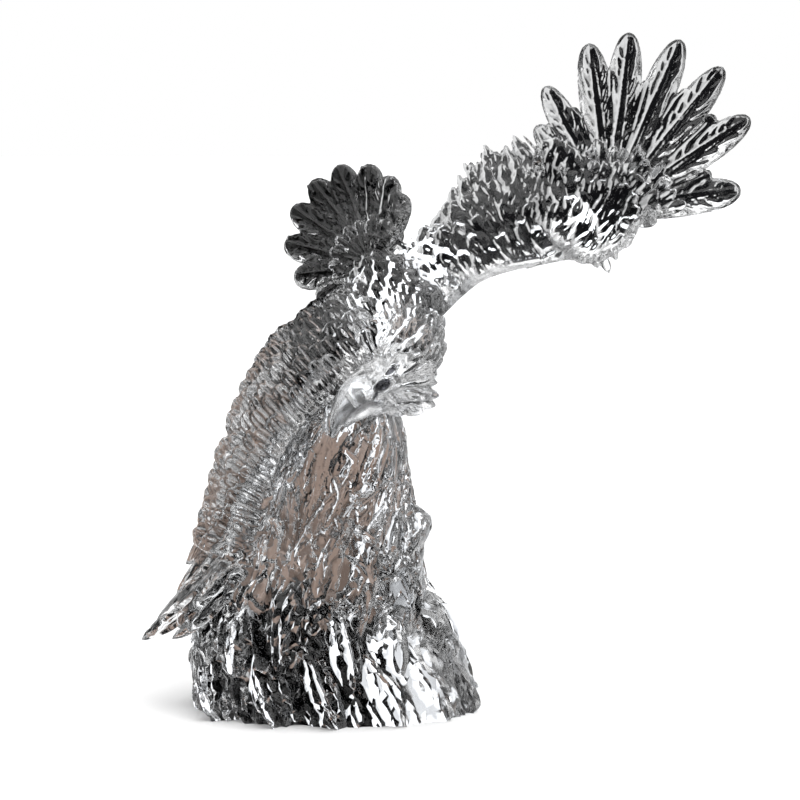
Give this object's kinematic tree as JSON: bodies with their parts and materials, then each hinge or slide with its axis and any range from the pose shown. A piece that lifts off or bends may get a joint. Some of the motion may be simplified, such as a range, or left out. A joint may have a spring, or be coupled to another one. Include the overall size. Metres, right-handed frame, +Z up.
{
  "type": "figurine",
  "caption": "Clear crystal figurine of an eagle swooping over a column of jagged rock, one wing raised, one lowered and the tail fanned, on a flat underside",
  "frame": {"origin": "Centre of the rock foot's flat underside, on the plane that the figurine stands on", "axes": "+Z is up, the long way of the figurine. The front looks along -Y: the head, turned to the bird's right, and the beak are there. The raised left wing reaches to +X, the lowered right wing to -X"},
  "size_m": [0.3154, 0.1119, 0.3535],
  "materials": {
    "clear_crystal": "polished"
  },
  "bodies": {
    "root": {"eagle_on_rock": "clear_crystal"}
  },
  "joints": []
}
